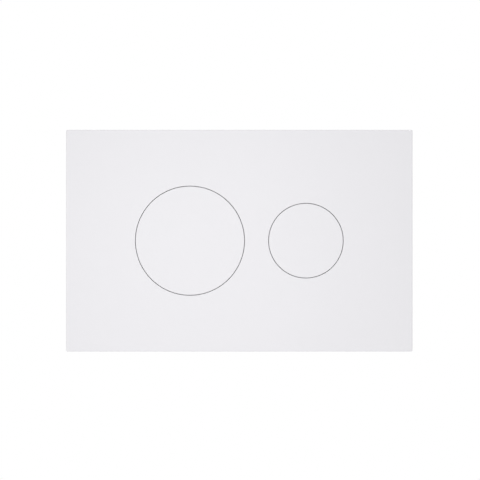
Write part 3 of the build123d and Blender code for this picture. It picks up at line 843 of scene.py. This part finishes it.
def threaded_surface(tree, given, front, length):
    """A closed threaded rod along the Y axis."""

    def thread_rule(round_share, along_share):
        along = along_share * length
        wave = maths("PINGPONG", (along / given["Pitch"] + round_share) * 2.0, 1.0)
        radius = given["Radius"] - ramp(wave, crest_share, root_share) * given["Depth"]
        to_end = smaller(along, length - along)
        radius = smaller(radius, given["End Radius"] + to_end * given["End Slope"])
        in_groove = (along > given["Groove Start"]) * (along < given["Groove End"])
        radius = smaller(radius, given["Radius"] - in_groove * given["Groove Depth"])
        return about_y(radius, round_share * (2 * pi), front + along)

    around = given["Around"]
    side = bent_grid(tree, around + 1, given["Rows"] + 1, thread_rule)
    start = disc(tree, around, given["End Radius"], front)
    end = disc(tree, around, given["End Radius"], front + length)
    return weld(join(flip(side), start, flip(end)))


# %% Tree for a threaded bar
thread_sizes = {
    "Radius": 3.0 * mm,
    "Depth": 0.5 * mm,
    "Pitch": 1.0 * mm,
    "End Radius": 2.2 * mm,
    "End Slope": 1.0,
    "Groove Start": 0.0,
    "Groove End": 0.0,
    "Groove Depth": 0.0,
    "Around": 32,
    "Rows": 400,
}
bar_sizes = {**thread_sizes, "Front": 0.0, "Length": 60 * mm, "Centre X": 0.0, "Centre Z": 0.0}


def threaded_bar_shape(tree, given):
    """A threaded bar along Y, moved to its place."""
    rod = threaded_surface(tree, given, given["Front"], given["Length"])
    return place_at(rod, (given["Centre X"], 0.0, given["Centre Z"]))


threaded_bar = shape_tree("threaded_bar", bar_sizes, threaded_bar_shape)

# %% [markdown]
# ## Fixing studs
#
# Two M6 studs screw into the box of the cistern and carry the frame. They are cut to length
# on site, which is why each has a groove behind the panel. A row of points every eighth of a
# pitch is enough to keep the ridge sharp.

# %% Studs
stud_pitch = 1.0 * mm
rows_per_turn = 8
for side in ("left", "right"):
    name = f"{side}_fixing_stud"
    low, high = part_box(name)
    length = high.y - low.y
    sizes = {
        **bar_sizes,
        "Pitch": stud_pitch,
        "Depth": 0.54 * mm,
        "End Radius": 2.2 * mm,
        "Groove Start": 12.3 * mm,
        "Groove End": 13.8 * mm,
        "Groove Depth": 0.7 * mm,
        "Rows": round(length / stud_pitch * rows_per_turn),
        "Front": low.y,
        "Length": length,
        "Centre X": middle(name, 0),
        "Centre Z": middle(name, 2),
    }
    stud = grow(f"{side}_stud_thread", threaded_bar, sizes, stud_zinc)
    settle(stud, 50, "plate", "stud_steel", name)

# %% [markdown]
# ## Nuts
#
# Two kinds of nut hold the works together. A thumb nut clamps the frame on each stud, with
# round dents for the fingers, and a thin hexagon nut locks each push rod. Both are spun
# shapes with a rule for how far out the side lies at each angle, so one helper bends a flat
# grid into either: its rows follow the section of the nut and its columns go round. A
# Boolean of cylinders would give the same outline, with worse edges and no inputs to turn.

# %% Helper for spun shapes
def spun_surface(tree, given, section, shape_radius):
    """A ring that stands along Y. Its section lists radius and height, one row for each."""
    radii, heights = zip(*section)
    last_row = len(section) - 1

    def spin_rule(round_share, along_share):
        row = rounded(along_share * last_row)
        angle = (round_share - 0.5) * (2 * pi)
        height = pick(row, heights)
        radius = shape_radius(pick(row, radii), angle, row, height)
        return about_y(radius, angle, given["Base"] + height, given["Centre X"])

    return weld(bent_grid(tree, given["Around"] + 1, last_row + 1, spin_rule))


# %% Tree for a thumb nut
thumb_nut_sizes = {
    "Hole Radius": 3.1 * mm,
    "Flange Radius": 9.0 * mm,
    "Flange Height": -1.6 * mm,
    "Body Radius": 7.5 * mm,
    "Height": -5.6 * mm,
    "Edge": 0.3 * mm,
    "Grip Count": 10,
    "Grip Depth": 0.9 * mm,
    "Base": 8.0 * mm,
    "Centre X": 0.0,
    "Around": 120,
}


def thumb_nut_shape(tree, given):
    """A round flange and a body with dents for the fingers. Heights run towards -Y."""
    edge, hole, body = given["Edge"], given["Hole Radius"], given["Body Radius"]
    flange, step, top = given["Flange Radius"], given["Flange Height"], given["Height"]
    round_end, round_middle = edge * 2.5, edge * 0.8
    section = [
        (hole, -edge),
        (hole + edge, 0.0),
        (flange - edge, 0.0),
        (flange, -edge),
        (flange, step + edge),
        (flange - edge, step),
        (body, step),
        (body, top + round_end),
        (body - round_middle, top + round_middle),
        (body - round_end, top),
        (hole + edge, top),
        (hole, top + edge),
        (hole, -edge),
    ]
    first_grip, last_grip = 6, 9
    grip_sharpness = 1.6

    def with_grips(radius, angle, row, height):
        wave = cosine(angle * given["Grip Count"])
        dent = (wave * -0.5 + 0.5) ** grip_sharpness
        on_body = (row > first_grip - 0.5) * (row < last_grip + 0.5)
        return radius - dent * on_body * given["Grip Depth"]

    return spun_surface(tree, given, section, with_grips)


thumb_nut = shape_tree("thumb_nut", thumb_nut_sizes, thumb_nut_shape)

# %% Thumb nuts
for side in ("left", "right"):
    name = f"{side}_stud_nut"
    low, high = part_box(name)
    sizes = {
        **thumb_nut_sizes,
        "Flange Radius": (high.x - low.x) / 2,
        "Height": low.y - high.y,
        "Base": high.y,
        "Centre X": middle(name, 0),
    }
    nut = grow(f"{side}_thumb_nut", thumb_nut, sizes, nut_blue)
    settle(nut, 40, "plate", "nut_plastic", name)

# %% [markdown]
# ## Hexagon nuts
#
# On a real hexagon nut a cone is turned on each face, and where the cone meets the flats it
# leaves the well-known curved lines. So the side lies at the smaller of two radii: that of the
# hexagon at this angle, and that of the cone at this height. A few rows close to each face
# are enough to draw the curve.

# %% Tree for a hexagon nut
hex_nut_sizes = {
    "Hole Radius": 3.1 * mm,
    "Flat Radius": 5.5 * mm,
    "Height": 3.2 * mm,
    "Edge": 0.3 * mm,
    "Base": 10.8 * mm,
    "Centre X": 0.0,
    "Around": 96,
}
hex_wedge = 2 * pi / 6
cone_slope = 1.73
cone_at_face = 0.96
past_corner = 1.2
rows_near_face = (0.0, 0.1, 0.2, 0.3, 0.4, 0.52, 0.64)


def hex_nut_shape(tree, given):
    """A hexagon with a turned cone on both faces."""
    edge, hole = given["Edge"], given["Hole Radius"]
    top, flat = given["Height"], given["Flat Radius"]
    corner = flat * past_corner
    side = [(corner, depth * mm) for depth in rows_near_face]
    side += [(corner, top - depth * mm) for depth in reversed(rows_near_face)]
    section = [(hole, edge), (hole + edge, 0.0), *side]
    section += [(hole + edge, top), (hole, top - edge), (hole, edge)]
    first_side, last_side = 2, 1 + len(side)

    def with_flats(radius, angle, row, height):
        from_flat = wrapped(angle - hex_wedge / 2, hex_wedge / 2, -hex_wedge / 2)
        cone = smaller(height, top - height) * cone_slope + flat * cone_at_face
        shaped = smaller(flat / cosine(from_flat), cone)
        on_side = (row > first_side - 0.5) * (row < last_side + 0.5)
        return (shaped - radius) * on_side + radius

    return flip(spun_surface(tree, given, section, with_flats))


hex_nut = shape_tree("hex_nut", hex_nut_sizes, hex_nut_shape)

# %% Lock nuts
for size in ("full", "half"):
    name = f"{size}_rod_lock_nut"
    low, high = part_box(name)
    sizes = {
        **hex_nut_sizes,
        "Flat Radius": (high.z - low.z) / 2,
        "Height": high.y - low.y,
        "Base": low.y,
        "Centre X": middle(name, 0),
    }
    nut = grow(f"{size}_hexagon_nut", hex_nut, sizes, nut_blue)
    settle(nut, 30, f"{size}_lever", "nut_plastic", name)

# %% [markdown]
# ## Snap clips
#
# Each clip is one strip of spring steel, bent to a U with a kink in both arms that grips the
# blade of the plate. A strip is a rectangle swept along its bend line. The line is a handful of
# points that follow from the sizes, and the Fillet Curve node rounds every bend as the bending
# tool does. Sharp mitred bends would look like sheet cut and welded.

# %% Tree for a bent strip
clip_sizes = {
    "Thickness": 0.5 * mm,
    "Strip Width": 6.0 * mm,
    "Half Opening": 2.1 * mm,
    "Kink": 0.5 * mm,
    "Kink Depth": 4.2 * mm,
    "Reach": 11.0 * mm,
    "Lip": 2.2 * mm,
    "Bend Radius": 0.7 * mm,
    "Front": 8.0 * mm,
    "Centre X": 0.0,
    "Centre Z": 0.0,
}


def clip_shape(tree, given):
    """A strip bent in the XY plane, open towards -Y, with a lip on each arm."""
    half_strip = given["Thickness"] * 0.5
    arm = given["Half Opening"] + half_strip
    lip = given["Front"] - half_strip
    kink = given["Front"] + given["Kink Depth"]
    bends = [
        (arm + half_strip + given["Lip"], lip),
        (arm, lip),
        (arm, kink - given["Kink"] * 2.0),
        (arm - given["Kink"], kink),
        (arm, kink + given["Kink"] * 2.0),
        (arm, given["Front"] + given["Reach"] - half_strip),
    ]
    arm_x, arm_y = zip(*bends)
    last = 2 * len(bends) - 1
    number = output(tree, "GeometryNodeInputIndex")
    side = (number > last / 2) * -2.0 + 1.0
    step = smaller(number, last - number)
    x = pick(step, arm_x) * side + given["Centre X"]
    place = point(tree, x, pick(step, arm_y), given["Centre Z"])
    line = output(tree, "GeometryNodeMeshLine", {"Count": last + 1, "Offset": (mm, 0, 0)}, "Mesh")
    curve = output(tree, "GeometryNodeMeshToCurve", {"Mesh": move_points(line, place)})
    inputs = {"Curve": curve, "Count": 5, "Radius": given["Bend Radius"], "Limit Radius": True}
    bent = output(tree, "GeometryNodeFilletCurve", inputs, mode="POLY")
    level = output(tree, "GeometryNodeSetCurveNormal", {"Curve": bent}, mode="Z_UP")
    inputs = {"Width": given["Thickness"], "Height": given["Strip Width"]}
    section = output(tree, "GeometryNodeCurvePrimitiveQuadrilateral", inputs, mode="RECTANGLE")
    return sweep(level, section)


bent_strip = shape_tree("bent_strip", clip_sizes, clip_shape)

# %% Clips
for name in clip_names:
    low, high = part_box(name)
    sizes = {
        **clip_sizes,
        "Strip Width": high.z - low.z,
        "Front": low.y + clip_sizes["Thickness"],
        "Reach": high.y - low.y - clip_sizes["Thickness"],
        "Centre X": middle(name, 0),
        "Centre Z": middle(name, 2),
    }
    clip = grow(name.replace("clip", "bent_clip"), bent_strip, sizes, strip_steel)
    settle(clip, 50, "plate", "clip_steel", name)

# %% [markdown]
# ## Return springs
#
# Each button is lifted by a conical spring, wide on the guide and narrow on the cap, so that
# its coils nest when it is pressed flat. A line of points is wound up. The angle grows evenly.
# The radius shrinks fast at first and slowly later, so that the wide coils stay low and the
# ribs inside the cap pass them when the button is pressed. The height follows a curve that is
# flat at both ends, because the end coils of a real spring are closed so that they sit level.
# A circle swept along that line makes the wire.

# %% Tree for a conical spring
spring_sizes = {
    "Wire Radius": 0.45 * mm,
    "Wide Radius": 12.6 * mm,
    "Narrow Radius": 9.4 * mm,
    "Narrowing Power": 0.4,
    "Turns": 3.5,
    "Height": 6.9 * mm,
    "Base": -3.15 * mm,
    "Centre X": 0.0,
    "Points": 240,
}


def spring_shape(tree, given):
    """A wire wound round the Y axis, from the guide out to the cap."""
    straight = output(tree, "GeometryNodeCurvePrimitiveLine")
    inputs = {"Curve": straight, "Count": given["Points"]}
    dots = output(tree, "GeometryNodeResampleCurve", inputs)
    share = output(tree, "GeometryNodeSplineParameter", socket="Factor")
    narrowing = given["Narrow Radius"] - given["Wide Radius"]
    radius = share ** given["Narrowing Power"] * narrowing + given["Wide Radius"]
    angle = share * given["Turns"] * (2 * pi)
    rise = (share - sine(share * (2 * pi)) / (2 * pi)) * given["Height"]
    wound = move_points(dots, about_y(radius, angle, given["Base"] - rise, given["Centre X"]))
    inputs = {"Resolution": 12, "Radius": given["Wire Radius"]}
    return sweep(wound, output(tree, "GeometryNodeCurvePrimitiveCircle", inputs))


conical_spring = shape_tree("conical_spring", spring_sizes, spring_shape)

# %% Springs
wire_radius = spring_sizes["Wire Radius"]
for size in ("full", "half"):
    low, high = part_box(f"{size}_return_spring")
    centre_x = middle(f"{size}_flush_button", 0)
    room = high.y - low.y
    sizes = {
        **spring_sizes,
        "Height": room - 2 * wire_radius,
        "Base": high.y - wire_radius,
        "Centre X": centre_x,
    }
    spring = grow(f"{size}_spring_coil", conical_spring, sizes, spring_wire)
    settle(spring, 60, "plate", "spring_steel", f"{size}_return_spring")
    seat = (centre_x, high.y, 0)
    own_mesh(spring)

# %% [markdown]
# ## Screws of the guides
#
# Three small self-tapping screws hold each guide. All six are alike, so one screw is built
# once and placed on the points of a circle, each turned by its own random angle, as screws
# are. The seed is fixed so that every run gives the same picture. The cross in the head is cut
# with a Boolean, which is clean here because both solids are small and closed.

# %% Sizes of a screw
screw_sizes = {
    **thread_sizes,
    "Radius": 1.45 * mm,
    "Depth": 0.4 * mm,
    "Pitch": 1.1 * mm,
    "End Radius": 0.25 * mm,
    "End Slope": 0.55,
    "Around": 24,
    "Rows": 64,
    "Head Radius": 2.8 * mm,
    "Head Height": 1.8 * mm,
    "Seat": -0.6 * mm,
    "Length": 8.0 * mm,
    "Recess Width": 0.7 * mm,
    "Recess Length": 3.1 * mm,
    "Recess Depth": 0.9 * mm,
    "Circle Radius": 45.0 * mm,
    "Count": 3,
    "Start Angle": pi / 6,
    "Centre X": 0.0,
    "Seed": 4,
}
dome_fullness = 0.45
dome_rows = 8
shank_in_head = 0.3
print("a screw has", len(screw_sizes), "sizes")

# %% Head of a screw
def pan_head(tree, given):
    """A low dome with a flat underside, its top towards +Y."""

    def dome_rule(round_share, along_share):
        climb = along_share * (pi / 2)
        radius = given["Head Radius"] * larger(cosine(climb), 0.0) ** dome_fullness
        y = given["Seat"] + given["Head Height"] * sine(climb)
        return about_y(radius, round_share * (2 * pi), y)

    dome = bent_grid(tree, given["Around"] + 1, dome_rows + 1, dome_rule)
    underside = disc(tree, given["Around"], given["Head Radius"], given["Seat"])
    return weld(join(flip(dome), underside))


def cross_recess(tree, given):
    """Two bars centred on the top of the head. Their floors differ, so that they don't meet."""
    top = given["Seat"] + given["Head Height"]
    width, length = given["Recess Width"], given["Recess Length"]
    for size_x, size_z, share in ((width, length, 2.0), (length, width, 1.8)):
        size = point(tree, size_x, given["Recess Depth"] * share, size_z)
        bar = output(tree, "GeometryNodeMeshCube", {"Size": size}, "Mesh")
        yield place_at(bar, (0.0, top, 0.0))


# %% Tree for a ring of screws
def screw_ring_shape(tree, given):
    """Screws on a circle round a button, heads towards +Y."""
    head = {"Mesh 1": pan_head(tree, given)}
    cut = add_node(tree, "GeometryNodeMeshBoolean", head, operation="DIFFERENCE")
    for bar in cross_recess(tree, given):
        feed(cut.inputs["Mesh 2"], bar)
    sunk = given["Length"] + given["Head Height"] * shank_in_head
    shank = threaded_surface(tree, given, given["Seat"] - given["Length"], sunk)
    screw = join(Signal(cut.outputs[0]), shank)
    inputs = {"Vertices": given["Count"], "Radius": given["Circle Radius"]}
    circle = output(tree, "GeometryNodeMeshCircle", inputs)
    upright = (pi / 2, -given["Start Angle"], 0.0)
    spots = place_at(circle, (given["Centre X"], 0.0, 0.0), upright)
    largest_angle = 3
    inputs = {largest_angle: 2 * pi, "Seed": given["Seed"]}
    spin = output(tree, "FunctionNodeRandomValue", inputs, 1, data_type="FLOAT")
    inputs = {"Points": spots, "Instance": screw, "Rotation": point(tree, 0.0, spin, 0.0)}
    return output(tree, "GeometryNodeInstanceOnPoints", inputs)


screw_ring = shape_tree("screw_ring", screw_sizes, screw_ring_shape)

# %% Screws
for size, seed in (("full", 3), ("half", 8)):
    low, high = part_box(f"{size}_guide_screws")
    seat = high.y - screw_sizes["Head Height"]
    sizes = {
        **screw_sizes,
        "Seat": seat,
        "Length": seat - low.y,
        "Circle Radius": -low.z - screw_sizes["Head Radius"],
        "Centre X": middle(f"{size}_flush_button", 0),
        "Seed": seed,
    }
    screws = grow(f"{size}_screw_set", screw_ring, sizes, zinc)
    settle(screws, 40, "plate", "screw_steel", f"{size}_guide_screws")

# %% [markdown]
# ## Push rods
#
# A push rod is a nylon screw that reaches back to the flush valve. Its length is set by
# turning it in the rocker, so it has a screwdriver slot in its head and a thread all the way
# down to a plain tip. The thread comes from the same tree as the studs. The head and the tip
# are turned shapes: a profile of radius and distance, spun round the axis.

# %% Turned shapes
def piece_from(name, shape):
    """Turns a bmesh into an object, and frees it."""
    mesh = bpy.data.meshes.new(name)
    shape.to_mesh(mesh)
    shape.free()
    piece = bpy.data.objects.new(name, mesh)
    scene.collection.objects.link(piece)
    return piece


def turned(name, profile, centre_x, segments=48):
    """A closed solid of revolution about a line along Y. The profile lists radius and y."""
    shape = bmesh.new()
    rings = []
    for radius, y in profile:
        ring = []
        for step in range(segments if radius else 1):
            spoke = Vector((radius, 0, 0))
            spoke.rotate(Matrix.Rotation(2 * pi * step / segments, 3, "Z"))
            ring.append(shape.verts.new((centre_x + spoke.x, y, spoke.y)))
        rings.append(ring)
    for inner, outer in zip(rings, rings[1:]):
        for step in range(segments):
            after = (step + 1) % segments
            corners = [inner[step % len(inner)], inner[after % len(inner)]]
            corners += [outer[after % len(outer)], outer[step % len(outer)]]
            shape.faces.new(dict.fromkeys(corners))
    bmesh.ops.recalc_face_normals(shape, faces=shape.faces)
    return piece_from(name, shape)


# %% Cutting and joining
def block(name, low, high):
    """A box between two corners, used only to cut with."""
    shape = bmesh.new()
    bmesh.ops.create_cube(shape, size=1.0)
    for corner in shape.verts:
        for axis in range(3):
            corner.co[axis] = low[axis] if corner.co[axis] < 0 else high[axis]
    return piece_from(name, shape)


def cut_with(piece, tool):
    """Takes the tool out of the piece, and throws the tool away."""
    cut = piece.modifiers.new("cut", "BOOLEAN")
    cut.operation = "DIFFERENCE"
    cut.solver = "EXACT"
    cut.object = tool
    apply_modifier(piece, cut)
    bpy.data.objects.remove(tool)


def merge_into(piece, *others):
    """Adds other meshes to the piece and removes their objects."""
    whole = bmesh.new()
    whole.from_mesh(piece.data)
    for other in others:
        whole.from_mesh(other.data)
        bpy.data.objects.remove(other)
    whole.to_mesh(piece.data)
    whole.free()


# %% Rods
head_radius = 5.0 * mm
head_height = 3.0 * mm
tip_radius = 2.2 * mm
tip_length = 3.0 * mm
edge = 0.4 * mm
slot_half_width = 0.7 * mm
slot_depth = 1.2 * mm
overlap = 1.0 * mm
for size in ("full", "half"):
    name = f"{size}_push_rod"
    low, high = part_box(name)
    centre_x = middle(name, 0)
    under_head = low.y + head_height
    thread_end = high.y - tip_length
    sizes = {
        **bar_sizes,
        "Depth": 0.6 * mm,
        "Pitch": 2.0 * mm,
        "End Radius": tip_radius,
        "Rows": 360,
        "Front": under_head - overlap,
        "Length": thread_end - under_head + overlap,
        "Centre X": centre_x,
    }
    rod = grow(f"{size}_rod_thread", threaded_bar, sizes, rod_white)
    head_profile = [
        (0, low.y),
        (head_radius - edge, low.y),
        (head_radius, low.y + edge),
        (head_radius, under_head - edge / 2),
        (head_radius - edge / 2, under_head),
        (0, under_head),
    ]
    head = turned(f"{size}_rod_head", head_profile, centre_x)
    slot_low = (centre_x - slot_half_width, low.y - overlap, -head_radius - overlap)
    slot_high = (centre_x + slot_half_width, low.y + slot_depth, head_radius + overlap)
    cut_with(head, block(f"{size}_slot_cutter", slot_low, slot_high))
    tip_profile = [
        (0, thread_end - overlap),
        (tip_radius, thread_end - overlap),
        (tip_radius, high.y - edge),
        (tip_radius - edge, high.y),
        (0, high.y),
    ]
    tip = turned(f"{size}_rod_tip", tip_profile, centre_x, 32)
    merge_into(rod, head, tip)
    settle(rod, 40, f"{size}_lever", "rod_plastic", name)

# %% [markdown]
# ## The rocker shaft
#
# Both rockers turn on one ground pin. It was parted off a bar, so its ends have a small turned
# chamfer and the dimple of a centre drill. It is spun about Y like the rod's head and then laid
# along X by changing its points, so that the object itself stays unturned.

# %% Shaft
low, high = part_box("rocker_shaft")
shaft_radius = (high.z - low.z) / 2
shaft_length = high.x - low.x
chamfer = 0.4 * mm
dimple_radius = 0.7 * mm
shaft_profile = [
    (0, dimple_radius),
    (dimple_radius, 0),
    (shaft_radius - chamfer, 0),
    (shaft_radius, chamfer),
    (shaft_radius, shaft_length - chamfer),
    (shaft_radius - chamfer, shaft_length),
    (dimple_radius, shaft_length),
    (0, shaft_length - dimple_radius),
]
shaft = turned("ground_pin", shaft_profile, 0)
lay_down = Matrix.Rotation(-pi / 2, 4, "Z")
axis_start = Vector((low.x, (low.y + high.y) / 2, (low.z + high.z) / 2))
shaft.data.transform(Matrix.Translation(axis_start) @ lay_down)
shaft.data.materials.append(ground_steel)
settle(shaft, 30, "plate", "shaft_steel", "rocker_shaft")
print("shaft is", round(shaft_length / mm, 1), "mm long")
